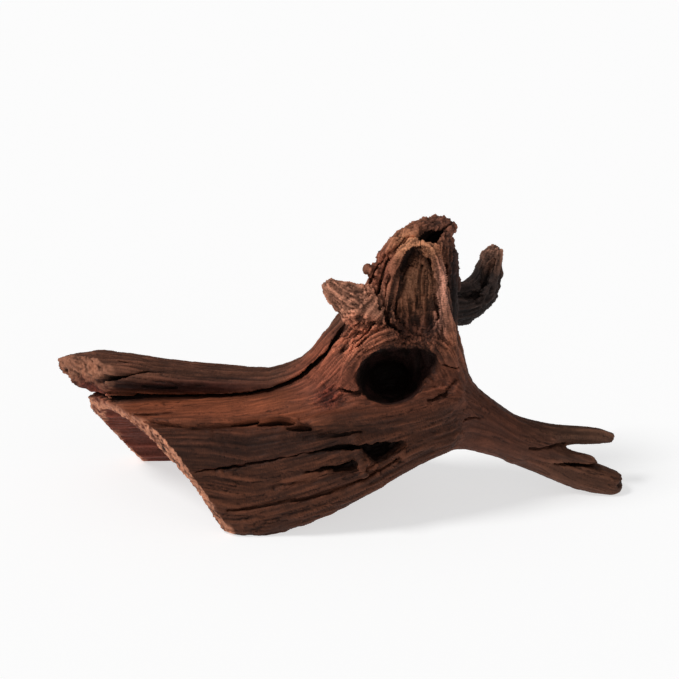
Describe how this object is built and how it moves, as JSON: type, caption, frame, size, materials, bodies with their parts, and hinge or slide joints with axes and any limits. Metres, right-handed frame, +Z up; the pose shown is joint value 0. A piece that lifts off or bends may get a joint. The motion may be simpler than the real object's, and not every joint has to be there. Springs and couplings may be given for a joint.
{
  "type": "driftwood",
  "caption": "Weathered branching root wood with a hollow sawn trunk, a deep knot hole, an upright stump and a forked limb, for display in a tank, terrarium or shelf.",
  "frame": {"origin": "middle of the wood's bounding box in X and Y, on the plane that it stands on", "axes": "+X along the wood from the sawn trunk to the forked limb, +Y away from the viewer who sees the knot hole, +Z up"},
  "size_m": [0.3096, 0.0991, 0.157],
  "materials": {
    "wood": "dry weathered"
  },
  "bodies": {
    "root": {"driftwood": "wood"}
  },
  "joints": []
}
